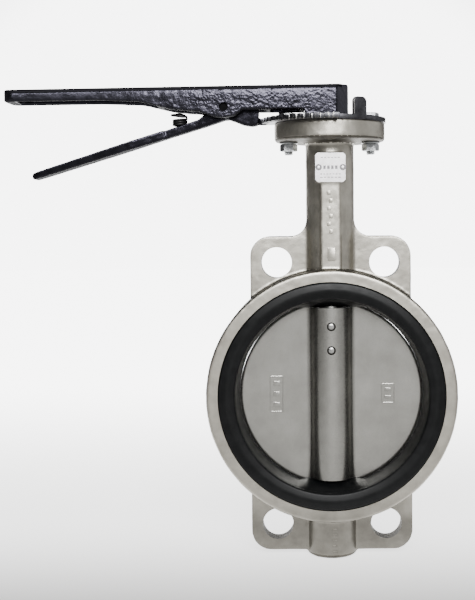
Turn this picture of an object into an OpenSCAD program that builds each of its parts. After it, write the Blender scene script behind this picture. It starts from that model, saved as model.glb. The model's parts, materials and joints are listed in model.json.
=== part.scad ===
// Wafer butterfly valve, DN 150, with a squeeze-latch lever on a notch plate.
// X runs across the pipe, Y along the pipe (the nameplate looks towards -Y), Z up the stem.
// The origin is the centre of the flow passage, where the stem and pipe axes cross.

/* [Disc] */
// Diameter of the disc over its spherical edge
disc_d = 155.4; // [130:0.1:190]
// Thickness of the disc plate
disc_t = 10; // [8:0.5:13]
// Diameter of the round hub along the stem
hub_d = 36; // [34:1:44]
// How far the flat hub ends stand inside the disc edge
hub_end_cut = 5.2; // [4:0.1:8]
// Radius where the hub runs into the disc plate
hub_fillet = 6; // [4:0.5:8]
// Width of the machined band at the disc edge
rim_band = 4.2; // [3:0.1:6]
// Height of the cast frames on the disc face
frame_rise = 0.7; // [0.4:0.1:1.2]

/* [Seat] */
// Gap between the disc edge and the rubber seat
seat_gap = 0.3; // [0.2:0.05:0.6]
// Rubber thickness behind the flow bore
seat_t = 10; // [8:0.5:13]
// Radial width of the rubber lip on each face
lip_w = 17; // [15:0.5:20]
// Depth of the lip inside the metal face
lip_seat = 3.5; // [2.5:0.5:5]
// How far the lip stands proud of the metal face
lip_proud = 1.5; // [1:0.1:2.5]
// Radius of the flat pads that seal on the hub ends
seat_pad_r = 29.5; // [25:0.5:35]

/* [Body] */
// Face-to-face width of the metal body
body_w = 56; // [50:1:68]
// Metal left outside the rubber lip
ring_wall = 10; // [8:0.5:14]
// Distance from the ring to the pipe bolt circle
bolt_circle_gap = 15; // [14:0.5:20]
// Diameter of the four pipe bolt holes
pipe_hole_d = 26; // [20:1:28]
// Metal round each pipe bolt hole
lug_rim = 9.4; // [7:0.2:12]
// Corner radius of the lug plate
lug_corner = 17; // [12:1:20]
// Thickness of the lug plate
lug_t = 14; // [10:1:22]
// Height of the neck between the ring and the top flange
neck_h = 108.5; // [95:0.5:140]
// Wall of the neck outside the stem bush
neck_wall = 8.5; // [7:0.5:11]
// How far the lower boss hangs below the ring
boss_drop = 32; // [30:1:40]
// Concave radius between the lug plate and the neck
neck_fillet = 13; // [6:1:15]

/* [Top flange] */
// Diameter of the top flange
flange_d = 94; // [88:1:112]
// Thickness of the top flange
flange_t = 15.5; // [14:0.5:19]
// Bolt circle of the top flange
flange_pcd = 70; // [68:1:74]
// Diameter of the top flange bolts
bolt_d = 8; // [6:0.5:8]

/* [Stem] */
// Diameter of the stem
stem_d = 19; // [17:0.5:23]
// Width across the flats of the stem square
square_w = 14; // [12:0.5:16]
// Radial running clearance of the stem
stem_fit = 0.05; // [0.02:0.01:0.1]
// Wall of the stem bushes
bush_wall = 2.5; // [2:0.5:4]
// Diameter of the taper pins
pin_d = 5.6; // [4.5:0.1:6.5]

/* [Notch plate] */
// Thickness of the notch plate
plate_t = 4; // [3:0.5:6]
// Radius of the plate outside its notches
plate_r = 48; // [46:1:50]
// Radius over the latch teeth
tooth_r = 58; // [53:0.5:70]
// Angle between two notches
notch_pitch = 7.5; // [7.5:7.5:15]
// Depth of a notch
notch_depth = 5; // [4:0.5:6]
// Width of a notch
notch_w = 4.2; // [3.8:0.1:5]
// Height of the end stops above the plate
stop_h = 14.6; // [12:0.2:17]

/* [Handle] */
// Length from the stem to the grip end
handle_l = 276; // [230:1:340]
// Width of the handle
handle_w = 34; // [30:1:34]
// Height of the handle head above the notch plate
head_h = 29; // [27:1:35]
// How far the top of the grip end lies below the top of the head
grip_drop = 3.4; // [0:0.2:8]
// Height of the grip
grip_h = 11; // [9:0.5:14]
// Thickness of the handle walls
handle_wall = 4.5; // [3.5:0.5:6]

/* [Latch lever] */
// How far the lever tip stops short of the grip end
lever_short = 20; // [8:0.5:50]
// Thickness of the latch lever arm
lever_t = 6; // [4:0.5:7]
// Width of the latch lever finger plate
lever_w = 20; // [16:1:24]
// Width of the latch lever inside the handle
cheek_w = 12; // [9:0.5:14]
// Angle of the arm below level
lever_drop = 17; // [16:0.5:18]
// Diameter of the pivot pin
pivot_d = 5; // [4:0.5:6]
// Diameter of the spring wire
wire_d = 1.7; // [1.2:0.1:2.2]
// Outer diameter of the latch spring
spring_d = 13; // [10:0.5:15]
// Turns of the latch spring
spring_turns = 4; // [3:0.5:5]

/* [Hidden] */
$fn = 96;
eps = 0.01;
gap = 0.3;

disc_r = disc_d / 2;
hub_end = disc_r - hub_end_cut;
bore_r = disc_r + seat_gap;
metal_r = bore_r + seat_t;
lip_r = bore_r + lip_w;
ring_r = lip_r + ring_wall;
liner_fit = 0.1;
seat_flat = hub_end + seat_gap;
frame_at = [-0.6 * disc_r, 0.62 * disc_r];

stem_r = stem_d / 2;
bush_r = stem_r + bush_wall;
housing_r = bush_r + stem_fit;
neck_r = housing_r + neck_wall;
boss_r = neck_r + 0.8;
boss_z = -(ring_r + boss_drop);
boss_floor = boss_z + 5.5;
thrust_t = 3.2;
stem_low = boss_floor + thrust_t + gap;
neck_top = ring_r + neck_h;
flange_top = neck_top + flange_t;
plate_top = flange_top + plate_t;

pipe_pcd = 2 * (ring_r + bolt_circle_gap);
pipe_x = pipe_pcd / 2 * sin(22.5);
pipe_z = pipe_pcd / 2 * cos(22.5);
lug_r = pipe_hole_d / 2 + lug_rim;

// Retaining ring stack in the top of the neck
cup_r = bush_r + 3;
cup_depth = 10;
cup_floor = flange_top - cup_depth;
washer_t = 2;
snap_t = 1.5;
snap_z = cup_floor + washer_t + 0.1;
snap_in_r = stem_r - 0.7;

// Taper pins sit at these heights on the hub
pin_z = [hub_end * 0.51, hub_end * 0.786];
pin_hole_r = pin_d / 2 + stem_fit;

flange_hole_d = bolt_d + 1;
head_af = bolt_d * 1.625;
head_t = bolt_d * 0.66;
nut_t = bolt_d * 0.81;
flat_washer_t = 1.6;
washer_r = bolt_d;
collar_r = min(neck_r + 4, flange_pcd / 2 - washer_r - 0.5);

// The latch pivot in X and above the notch plate in Z; what belongs to the latch is placed from it
pivot = [-(tooth_r + 31.5), 9.8];
lever_l = handle_l + pivot[0] - lever_short;
claw_x = -(tooth_r + 1.7);
tongue_x = -(tooth_r - notch_depth + 0.6);
tongue_w = notch_w - 0.6;
latch_slot = [pivot[0] - 51.5, claw_x + 6];
head_back = -21;
handle_right = 16;
spring_x = pivot[0] - 35.5;
spring_low = -3.45;
spring_room = 7.2;

screw_d = bolt_d - 1.3;
screw_z = 14;

name_z = neck_top - 22.8;
name_w = 25.2;
name_h = 24.4;
name_lip = 0.5;
name_pad_y = neck_r + 2;
rivet_x = [2.8 - name_w / 2, name_w / 2 - 2.2];
strip_w = 17;
rivet_l = 3.6;

// Turns a shape drawn about Z so that its axis lies along Y
module along_pipe() {
    rotate([90, 0, 0]) children();
}

// A flat shape in X and Z, given a width along Y
module side_plate(width) {
    rotate([90, 0, 0]) linear_extrude(width, center = true) children();
}

module tube(outer_r, inner_r, z0, z1) {
    translate([0, 0, z0]) difference() {
        cylinder(r = outer_r, h = z1 - z0);
        translate([0, 0, -1]) cylinder(r = inner_r, h = z1 - z0 + 2);
    }
}

module hex_prism(across_flats, h) {
    cylinder(r = across_flats / 2 / cos(30), h = h, $fn = 6);
}

// A round bar along Z with a bevel on the ends that ask for one
module bevelled_bar(r, z0, z1, low_bevel, high_bevel) {
    rotate_extrude() polygon([[0, z0], [r - low_bevel, z0], [r, z0 + low_bevel],
        [r, z1 - high_bevel], [r - high_bevel, z1], [0, z1]]);
}

// Body casting

module ring_profile() {
    bevel = 1.5;
    half = body_w / 2;
    polygon([[metal_r - 4, -half], [ring_r - bevel, -half], [ring_r, -half + bevel],
        [ring_r, half - bevel], [ring_r - bevel, half], [metal_r - 4, half]]);
}

// Outline of the lug plate, a rectangle with round corners
module lug_outline() {
    flat_x = pipe_x + lug_r - lug_corner;
    flat_z = pipe_z + lug_r - lug_corner;
    square([2 * (flat_x + lug_corner), 2 * flat_z], center = true);
    square([2 * flat_x, 2 * (flat_z + lug_corner)], center = true);
    for (sx = [-1, 1], sz = [-1, 1]) translate([sx * flat_x, sz * flat_z]) circle(r = lug_corner);
}

// Concave corner between a level edge and an upright wall, in the first quadrant
module inside_corner(r) {
    difference() {
        translate([-1, -1]) square(r + 1);
        translate([r, r]) circle(r = r);
    }
}

module lug_plate() {
    low_r = max(1, min(neck_fillet, -boss_z - pipe_z - lug_r - 0.5));
    side_plate(lug_t) {
        lug_outline();
        for (sx = [0, 1]) mirror([sx, 0]) {
            translate([neck_r, pipe_z + lug_r]) inside_corner(neck_fillet);
            translate([boss_r, -pipe_z - lug_r]) mirror([0, 1]) inside_corner(low_r);
        }
    }
}

module neck() {
    translate([0, 0, metal_r]) cylinder(r = neck_r, h = neck_top - metal_r + 1);
    rotate_extrude() polygon([[0, neck_top - 6], [neck_r, neck_top - 6], [collar_r, neck_top],
        [collar_r, neck_top + 1], [0, neck_top + 1]]);
    // Pad for the nameplate and the lettering strip below it, both left blank
    translate([-name_w / 2 + name_lip, -name_pad_y, name_z - name_h / 2 + name_lip])
        cube([name_w - 2 * name_lip, name_pad_y, name_h - 2 * name_lip]);
    translate([-strip_w / 2, -(neck_r + 1), ring_r - 4])
        cube([strip_w, neck_r, name_z - name_h / 2 - ring_r + 5]);
}

module body() {
    color("silver") difference() {
        union() {
            along_pipe() rotate_extrude($fn = 180) ring_profile();
            lug_plate();
            neck();
            bevelled_bar(boss_r, boss_z, -metal_r, 3, 0);
            bevelled_bar(flange_d / 2, neck_top, flange_top, 2.5, 0.8);
        }
        along_pipe() cylinder(r = metal_r, h = 2 * ring_r, center = true);
        for (sy = [-1, 1]) translate([0, sy * (body_w / 2 - lip_seat + 10), 0])
            along_pipe() cylinder(r = lip_r + liner_fit, h = 20, center = true);
        translate([0, 0, boss_floor]) cylinder(r = housing_r, h = flange_top - boss_floor);
        translate([0, 0, cup_floor]) cylinder(r = cup_r, h = cup_depth + 1);
        for (sx = [-1, 1], sz = [-1, 1]) translate([sx * pipe_x, 0, sz * pipe_z])
            along_pipe() cylinder(d = pipe_hole_d, h = lug_t + 2, center = true);
        for (a = [0:90:270]) rotate(a) translate([flange_pcd / 2, 0, neck_top - 1])
            cylinder(d = flange_hole_d, h = flange_t + 2);
        for (x = rivet_x) translate([x, -name_pad_y + rivet_l, name_z])
            along_pipe() cylinder(r = 1.3, h = rivet_l + 2);
    }
}

// Rubber seat

module seat_profile() {
    half = body_w / 2;
    face = half + lip_proud;
    back = metal_r - liner_fit;
    polygon([[bore_r, -half / 2], [bore_r + 1, -half + 2], [bore_r + 1.8, -face + 1.2],
        [bore_r + 4, -face], [lip_r - 2.5, -face], [lip_r, -face + 2.5],
        [lip_r, -half + lip_seat - liner_fit],
        [back, -half + lip_seat - liner_fit], [back, half - lip_seat + liner_fit],
        [lip_r, half - lip_seat + liner_fit], [lip_r, face - 2.5], [lip_r - 2.5, face],
        [bore_r + 4, face], [bore_r + 1.8, face - 1.2], [bore_r + 1, half - 2], [bore_r, half / 2]]);
}

module seat_liner() {
    color([0.1, 0.1, 0.1]) difference() {
        union() {
            along_pipe() rotate_extrude($fn = 180) seat_profile();
            // Flat pads that seal on the hub ends
            intersection() {
                along_pipe() cylinder(r = bore_r + 4, h = body_w - 8, center = true);
                for (sz = [0, 1]) mirror([0, 0, sz]) translate([0, 0, seat_flat])
                    cylinder(r = seat_pad_r, h = seat_t);
            }
        }
        cylinder(r = stem_r + 3 * stem_fit, h = 3 * ring_r, center = true);
    }
}

// Disc

// Concave corner between the hub and the disc plate, seen along the stem
module hub_corner() {
    hub_r = hub_d / 2;
    centre_y = disc_t / 2 + hub_fillet;
    centre_x = sqrt(pow(hub_r + hub_fillet, 2) - pow(centre_y, 2));
    touch = [centre_x, centre_y] * hub_r / (hub_r + hub_fillet);
    difference() {
        polygon([[touch[0] - 3, 0], [centre_x, 0], [centre_x, centre_y], touch]);
        translate([centre_x, centre_y]) circle(r = hub_fillet);
    }
}

// A raised rectangular outline on the front of the disc
module cast_frame(x, w, h) {
    line = 1;
    translate([x, -disc_t / 2 + eps, -1]) side_plate(2 * frame_rise) difference() {
        square([w, h], center = true);
        square([w - 2 * line, h - 2 * line], center = true);
    }
}

module disc() {
    color("gainsboro") difference() {
        union() {
            intersection() {
                sphere(r = disc_r, $fn = 180);
                cube([2 * disc_r, hub_d, 2 * hub_end], center = true);
                union() {
                    along_pipe() rotate_extrude($fn = 180) polygon([[0, -disc_t / 2],
                        [disc_r - rim_band, -disc_t / 2], [disc_r, -disc_t / 2 + 2],
                        [disc_r, disc_t / 2 - 2], [disc_r - rim_band, disc_t / 2], [0, disc_t / 2]]);
                    linear_extrude(2 * hub_end, center = true) {
                        circle(d = hub_d);
                        for (mx = [0, 1], my = [0, 1]) mirror([mx, 0]) mirror([0, my]) hub_corner();
                    }
                }
            }
            cast_frame(frame_at[0], 11.6, 31);
            cast_frame(frame_at[1], 11.4, 17);
        }
        cylinder(r = stem_r + stem_fit, h = 3 * disc_r, center = true);
        for (z = pin_z) translate([0, 0, z]) {
            along_pipe() cylinder(r = pin_hole_r, h = hub_d + 2, center = true);
            translate([0, -hub_d / 2, 0]) along_pipe() cylinder(r = pin_hole_r + 0.9, h = 2.4, center = true);
        }
    }
}

module disc_taper_pins() {
    color("white") for (z = pin_z) translate([0, 0, z])
        along_pipe() cylinder(d = pin_d, h = hub_d - 2, center = true);
}

// Stem and what carries it

module stem() {
    color("lightgray") difference() {
        union() {
            bevelled_bar(stem_r, stem_low, plate_top + gap / 2, 1, 0);
            intersection() {
                bevelled_bar(stem_r, 0, plate_top + 24, 0, 1);
                translate([0, 0, plate_top + 12]) cube([square_w, square_w, 24], center = true);
            }
        }
        tube(stem_r + 1, snap_in_r, snap_z - stem_fit, snap_z + snap_t + stem_fit);
        for (z = pin_z) translate([0, 0, z])
            along_pipe() cylinder(r = pin_hole_r, h = stem_d + 2, center = true);
    }
}

module stem_bush(z0, z1) {
    color("darkgoldenrod") tube(bush_r, stem_r + stem_fit, z0, z1);
}

module lower_stem_bush() {
    stem_bush(stem_low + 3, stem_low + 23);
}

module middle_stem_bush() {
    stem_bush(metal_r + 16, metal_r + 38);
}

module upper_stem_bush() {
    stem_bush(cup_floor - 22, cup_floor - 0.5);
}

module stem_o_rings() {
    section_r = (bush_wall - 3 * stem_fit) / 2;
    color([0.15, 0.15, 0.15]) for (z = [cup_floor - 32, cup_floor - 26]) translate([0, 0, z])
        rotate_extrude() translate([bush_r - stem_fit - section_r, 0]) circle(r = section_r, $fn = 32);
}

module thrust_pad() {
    color("ivory") translate([0, 0, boss_floor + 0.1]) cylinder(r = bush_r - 0.1, h = thrust_t);
}

module retaining_washer() {
    color("silver") tube(cup_r - 0.2, stem_r + 2 * stem_fit, cup_floor, cup_floor + washer_t);
}

module stem_snap_ring() {
    color("dimgray") difference() {
        tube(stem_r + 2.5, snap_in_r + stem_fit, snap_z, snap_z + snap_t);
        translate([0, -2, snap_z - 1]) cube([stem_d, 4, snap_t + 2]);
    }
}

// Notch plate and its fasteners

// An end stop bent up from the plate, facing the stem
module end_stop(azimuth) {
    stop_w = 12.6;
    stop_t = 3.2;
    corner = 4;
    height = plate_t + stop_h;
    rotate(azimuth) translate([plate_r - 0.4 - stop_t / 2, 0, flange_top]) rotate([90, 0, 90])
        linear_extrude(stop_t, center = true) {
            translate([-stop_w / 2, 0]) square([stop_w, height - corner]);
            translate([-stop_w / 2 + corner, 0]) square([stop_w - 2 * corner, height]);
            for (s = [-1, 1]) translate([s * (stop_w / 2 - corner), height - corner]) circle(r = corner);
        }
}

module notch_plate() {
    far = 3 * tooth_r;
    lead = 7;
    color("dimgray") {
        translate([0, 0, flange_top]) linear_extrude(plate_t) difference() {
            union() {
                circle(r = plate_r);
                intersection() {
                    circle(r = tooth_r);
                    polygon([[0, 0], far * [cos(180 - lead), sin(180 - lead)], [-far, -far],
                        far * [cos(270 + lead), sin(270 + lead)]]);
                }
            }
            for (a = [180:notch_pitch:270]) rotate(a) translate([tooth_r - notch_depth, -notch_w / 2])
                square([notch_depth + 2, notch_w]);
            circle(r = stem_r + gap);
            for (a = [0:90:270]) rotate(a) translate([flange_pcd / 2, 0]) circle(d = flange_hole_d);
        }
        for (azimuth = [-59, 149]) end_stop(azimuth);
    }
}

// Places the two lever-plate bolts, left and right of the stem
module at_flange_bolts(z) {
    for (sx = [-1, 1]) translate([sx * flange_pcd / 2, 0, z]) children();
}

module flange_bolts() {
    length = flange_t + plate_t + flat_washer_t + nut_t + 3;
    color("lightsteelblue") at_flange_bolts(plate_top) {
        rotate(30) hex_prism(head_af, head_t);
        translate([0, 0, -length]) cylinder(d = bolt_d, h = length + 1);
    }
}

module flange_washers() {
    color("silver") at_flange_bolts(neck_top - flat_washer_t) difference() {
        cylinder(r = washer_r, h = flat_washer_t);
        translate([0, 0, -1]) cylinder(d = bolt_d + 0.4, h = flat_washer_t + 2);
    }
}

module flange_nuts() {
    color("lightsteelblue") at_flange_bolts(neck_top - flat_washer_t - nut_t) difference() {
        rotate(30) hex_prism(head_af, nut_t);
        translate([0, 0, -1]) cylinder(d = bolt_d + 0.1, h = nut_t + 2);
    }
}

// Nameplate

module nameplate() {
    cut = 2;
    hw = name_w / 2;
    hh = name_h / 2;
    color("whitesmoke") translate([0, -name_pad_y - 0.4, name_z]) side_plate(0.8) difference() {
        polygon([[-hw + cut, -hh], [hw - cut, -hh], [hw, -hh + cut], [hw, hh - cut],
            [hw - cut, hh], [-hw + cut, hh], [-hw, hh - cut], [-hw, -hh + cut]]);
        translate([rivet_x[0], 0]) circle(r = 1.4);
        // The other rivet hole is open at the plate's edge
        translate([hw - 3.4, 0]) circle(r = 1.6);
        translate([hw - 3.4, -1.6]) square([5, 3.2]);
    }
}

module nameplate_rivets() {
    color("gainsboro") for (x = rivet_x) translate([x, -name_pad_y - 0.8, name_z])
        along_pipe() {
            translate([0, 0, 0.02]) cylinder(r1 = 2, r2 = 1.3, h = 1);
            translate([0, 0, -rivet_l]) cylinder(r = 1.2, h = rivet_l + 0.5);
        }
}

// Handle

// Side view of the handle casting, with Z counted from the top of the notch plate
module handle_side() {
    grip_top = head_h - grip_drop;
    grip_low = grip_top - grip_h;
    wall_low = 7.5;
    polygon([[-handle_l, grip_top], [-handle_l, grip_low], [pivot[0] - 107.5, grip_low + 0.8],
        [pivot[0] - 70.5, grip_low - 0.8], [pivot[0] - 44.5, 8], [pivot[0] - 20.5, 6], [pivot[0] - 7.5, 1.2],
        [pivot[0] + 1.5, 0.6], [pivot[0] + 9.5, 2.4], [pivot[0] + 15.5, wall_low], [head_back, wall_low],
        [head_back, gap], [handle_right, gap], [handle_right, head_h]]);
}

// Plan view of the handle, round at the grip end and bevelled behind the stem
module handle_plan() {
    corner = 10;
    bevel = 10;
    half = handle_w / 2;
    polygon([[-handle_l + corner, -half], [handle_right - bevel, -half], [handle_right, -half + bevel],
        [handle_right, half - bevel], [handle_right - bevel, half], [-handle_l + corner, half]]);
    translate([-handle_l, -half + corner]) square([corner + 1, handle_w - 2 * corner]);
    for (s = [-1, 1]) translate([-handle_l + corner, s * (half - corner)]) circle(r = corner);
}

module handle() {
    inner = handle_w - 2 * handle_wall;
    slot = cheek_w + 1.2;
    roof = head_h - handle_wall - 1.5;
    grip_roof = head_h - grip_drop - handle_wall;
    grip_hollow = [-handle_l + 9, latch_slot[0] - 5];
    head_hollow = [claw_x + 9, head_back - 4];
    color([0.12, 0.12, 0.13]) translate([0, 0, plate_top]) difference() {
        intersection() {
            side_plate(handle_w) handle_side();
            translate([0, 0, -5]) linear_extrude(2 * head_h) handle_plan();
        }
        // Hollow underside: the grip, the latch lever's slot and the part above the bolts
        translate([grip_hollow[0], -inner / 2, -1])
            cube([grip_hollow[1] - grip_hollow[0], inner, grip_roof + 1]);
        translate([latch_slot[0], -slot / 2, -1]) cube([latch_slot[1] - latch_slot[0], slot, roof]);
        translate([head_hollow[0], -inner / 2, -1]) cube([head_hollow[1] - head_hollow[0], inner, roof + 1]);
        translate([0, 0, 12]) cube([square_w + 0.2, square_w + 0.2, 26], center = true);
        translate([pivot[0], 0, pivot[1]])
            along_pipe() cylinder(d = pivot_d + 0.04, h = handle_w + 2, center = true);
        translate([square_w / 2 - 1, 0, screw_z]) rotate([0, 90, 0]) cylinder(d = screw_d + 0.1, h = 16);
    }
}

module handle_set_screw() {
    color("dimgray") translate([square_w / 2 + 0.1, 0, plate_top + screw_z]) rotate([0, 90, 0]) difference() {
        cylinder(d = screw_d, h = 8);
        translate([0, 0, 4.5]) hex_prism(3.2, 4);
    }
}

// Latch lever

// Side view of the arm and the eye round the pivot pin, with the pivot at the origin
module lever_arm_side() {
    eye_r = 7;
    arm_low = -6 - lever_t;
    start = -(lever_l - lever_t / 2) / cos(lever_drop);
    length = -start - 30;
    rotate(lever_drop) {
        translate([start, arm_low]) square([length, lever_t]);
        translate([start, arm_low + lever_t / 2]) circle(d = lever_t);
    }
    circle(r = eye_r);
}

// Side view of the cheeks that join the arm, the eye and the claw
module lever_cheek_side() {
    claw = claw_x - pivot[0];
    tip = tongue_x - pivot[0];
    tongue_low = -14.8;
    tongue_top = -8.8;
    polygon([[-30, -19.8], [-18.5, -16.4], [-11.5, -14.2], [2.6, -9.4], [claw - 20.3, -11.8],
        [claw - 13.3, -14.6], [claw - 6.5, -15.6], [claw - 1.5, tongue_low], [tip, tongue_low],
        [tip, tongue_top], [claw, tongue_top], [claw, 1.5], [6, 6], [-5, 4.8], [-14, -2.8], [-22, -10],
        [-30, -14.6]]);
}

module latch_lever() {
    claw = claw_x - pivot[0];
    neck_x = -48;
    color([0.1, 0.1, 0.1]) translate([pivot[0], 0, plate_top + pivot[1]]) difference() {
        union() {
            intersection() {
                side_plate(lever_w) lever_arm_side();
                // The finger plate is wide; inside the handle the arm is as narrow as the cheeks
                union() {
                    translate([-2 * lever_l, -lever_w, -lever_l])
                        cube([2 * lever_l + neck_x, 2 * lever_w, 2 * lever_l]);
                    translate([neck_x - 1, -cheek_w / 2, -50]) cube([100, cheek_w, 100]);
                }
            }
            difference() {
                side_plate(cheek_w) lever_cheek_side();
                for (s = [-1, 1]) translate([claw + 10, s * (tongue_w / 2 + 10), 0])
                    cube([20, 20, 60], center = true);
            }
        }
        along_pipe() cylinder(r = pivot_d / 2 + stem_fit, h = lever_w + 2, center = true);
    }
}

module latch_pivot_pin() {
    color("gray") translate([pivot[0], 0, plate_top + pivot[1]])
        along_pipe() cylinder(d = pivot_d, h = handle_w - 0.4, center = true);
}

// A round wire swept along a helix about Z, closed at both ends
module coil_spring(mean_r, wire_r, height, turns) {
    sides = 8;
    per_turn = 18;
    rings = round(turns * per_turn);
    slope = atan(height / turns / (2 * PI * mean_r));
    points = [for (i = [0:rings]) let (a = 360 * i / per_turn, z = height * i / rings)
        for (j = [0:sides - 1])
            let (b = 360 * j / sides, out = mean_r + wire_r * cos(b), up = wire_r * sin(b), lean = sin(slope))
                [out * cos(a) + up * lean * sin(a), out * sin(a) - up * lean * cos(a), z + up * cos(slope)]];
    skin = [for (i = [0:rings - 1], j = [0:sides - 1]) let (k = (j + 1) % sides)
        [i * sides + j, (i + 1) * sides + j, (i + 1) * sides + k, i * sides + k]];
    ends = [[for (j = [0:sides - 1]) j], [for (j = [sides - 1:-1:0]) rings * sides + j]];
    polyhedron(points, concat(skin, ends));
}

module latch_spring() {
    wire_r = wire_d / 2;
    color([0.08, 0.08, 0.08]) translate([spring_x, 0, plate_top + spring_low]) rotate([0, -8, 0])
        coil_spring(spring_d / 2 - wire_r, wire_r, spring_room, spring_turns);
}

body();
seat_liner();
disc();
stem();
disc_taper_pins();
lower_stem_bush();
middle_stem_bush();
upper_stem_bush();
stem_o_rings();
thrust_pad();
retaining_washer();
stem_snap_ring();
notch_plate();
flange_bolts();
flange_nuts();
flange_washers();
nameplate();
nameplate_rivets();
handle();
handle_set_screw();
latch_lever();
latch_pivot_pin();
latch_spring();
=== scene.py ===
import json
import math
import bmesh
import bpy
from mathutils import Matrix, Vector, noise


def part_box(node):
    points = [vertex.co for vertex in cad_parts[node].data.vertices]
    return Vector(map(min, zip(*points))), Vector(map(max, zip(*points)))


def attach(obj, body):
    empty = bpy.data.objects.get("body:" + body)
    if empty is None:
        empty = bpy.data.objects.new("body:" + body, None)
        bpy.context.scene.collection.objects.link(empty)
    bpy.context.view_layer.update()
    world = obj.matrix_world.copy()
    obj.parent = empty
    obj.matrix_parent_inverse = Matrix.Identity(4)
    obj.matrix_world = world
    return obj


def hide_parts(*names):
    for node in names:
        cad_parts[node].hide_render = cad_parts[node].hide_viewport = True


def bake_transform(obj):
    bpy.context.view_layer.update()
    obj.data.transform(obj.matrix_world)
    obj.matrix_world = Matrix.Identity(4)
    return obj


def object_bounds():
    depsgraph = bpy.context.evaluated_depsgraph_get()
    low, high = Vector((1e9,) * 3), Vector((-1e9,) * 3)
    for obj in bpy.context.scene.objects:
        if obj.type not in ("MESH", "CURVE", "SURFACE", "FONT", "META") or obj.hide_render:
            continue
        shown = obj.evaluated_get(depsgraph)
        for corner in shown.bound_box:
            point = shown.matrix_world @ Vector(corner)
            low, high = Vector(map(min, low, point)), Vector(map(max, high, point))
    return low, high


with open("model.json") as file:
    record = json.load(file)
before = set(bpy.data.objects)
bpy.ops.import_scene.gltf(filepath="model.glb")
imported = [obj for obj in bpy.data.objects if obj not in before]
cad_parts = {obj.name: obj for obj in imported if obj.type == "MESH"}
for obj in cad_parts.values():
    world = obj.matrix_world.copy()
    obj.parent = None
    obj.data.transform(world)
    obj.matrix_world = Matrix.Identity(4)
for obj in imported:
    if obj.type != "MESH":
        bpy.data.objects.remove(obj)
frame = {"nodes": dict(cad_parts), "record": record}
cadLow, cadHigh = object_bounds()
scene = bpy.context.scene
mm = 0.001
rootBody, rotorBody, leverBody = "root", "rotor", "lever"

# the eye is on the level of the neck and looks straight along the pipe
cameraSetup = {"place": (-21.5, -900, 141.8), "roll": 0.4, "lens": 63.06, "sensor": 36,
               "shift": (-0.1125, -0.1233)}
cameraData = bpy.data.cameras.new("viewCamera")
cameraData.lens = cameraSetup["lens"]
cameraData.sensor_width = cameraSetup["sensor"]
cameraData.shift_x, cameraData.shift_y = cameraSetup["shift"]
camera = bpy.data.objects.new("viewCamera", cameraData)
camera.location = Vector(cameraSetup["place"]) * mm
camera.rotation_euler = (math.pi / 2, math.radians(cameraSetup["roll"]), 0)
scene.collection.objects.link(camera)
scene.camera = camera
print("camera placed")


# measures taken from the CAD frame, in millimetres

def span(nodeName):
    low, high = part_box(nodeName)
    return [v / mm for v in low], [v / mm for v in high]


bodyLow, bodyHigh = span("body")
plateLow, plateHigh = span("notch_plate")
handleLow, handleHigh = span("handle")
pinLow, pinHigh = span("latch_pivot_pin")
nameLow, nameHigh = span("nameplate")
rivetLow, rivetHigh = span("nameplate_rivets")
boltLow, boltHigh = span("flange_bolts")
nutLow, nutHigh = span("flange_nuts")
washerLow, washerHigh = span("flange_washers")
taperLow, taperHigh = span("disc_taper_pins")
springLow, springHigh = span("latch_spring")
leverLow, leverHigh = span("latch_lever")
mounts = {m["name"]: m["dims"] for m in frame["record"]["mounts"]}

ringR, flangeTop, bossLow = bodyHigh[0], bodyHigh[2], bodyLow[2]
lipR, faceY = span("seat_liner")[1][:2]
discR, hubR, hubEnd = span("disc")[1]
stemR = span("stem")[1][0]
bushR = span("upper_stem_bush")[1][0]
toothR = -plateLow[0]
holeX = mounts["pipe_bolts"]["spacing_x_mm"] / 2
holeZ = mounts["pipe_bolts"]["spacing_y_mm"] / 2
holeR = mounts["pipe_bolts"]["hole_r_mm"]
boltX = (boltHigh[0] + boltLow[0]) / 2 + mounts["spare_top_holes"]["spacing_y_mm"] / 2
topHoleR = mounts["spare_top_holes"]["hole_r_mm"]
pivotX = (pinLow[0] + pinHigh[0]) / 2
pivotZ = (pinLow[2] + pinHigh[2]) / 2
taperR = (taperHigh[0] - taperLow[0]) / 2
taperLevels = (taperLow[2] + taperR, taperHigh[2] - taperR)
nameMiddle = (nameLow[2] + nameHigh[2]) / 2


# shape tools

def arc(cx, cy, r, start, end, steps):
    turns = [math.radians(start + (end - start) * i / steps) for i in range(steps + 1)]
    return [(cx + r * math.cos(a), cy + r * math.sin(a)) for a in turns]


def boxCorners(left, right, low, high, corner):
    return [(left, low, corner), (right, low, corner), (right, high, corner), (left, high, corner)]


def rounded(corners, steps=6, closed=True):
    # corners are (x, y, radius); each one becomes an arc tangent to both of its sides
    out = []
    count = len(corners)
    straight = math.pi / 2 - 0.02
    for i, (x, y, r) in enumerate(corners):
        if r <= 0 or (not closed and i in (0, count - 1)):
            out.append((x, y))
            continue
        here = Vector((x, y))
        before = Vector(corners[i - 1][:2]) - here
        after = Vector(corners[(i + 1) % count][:2]) - here
        before.normalize()
        after.normalize()
        half = before.angle(after) / 2
        if half > straight:
            out.append((x, y))
            continue
        reach = r / math.tan(half)
        centre = here + (before + after).normalized() * (r / math.sin(half))
        first, last = here + before * reach - centre, here + after * reach - centre
        turn = math.atan2(first.x * last.y - first.y * last.x, first.dot(last))
        for k in range(steps + 1):
            a = turn * k / steps
            out.append((centre.x + first.x * math.cos(a) - first.y * math.sin(a),
                        centre.y + first.x * math.sin(a) + first.y * math.cos(a)))
    return out


def addObject(name, mesh):
    obj = bpy.data.objects.new(name, mesh)
    scene.collection.objects.link(obj)
    return obj


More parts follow.
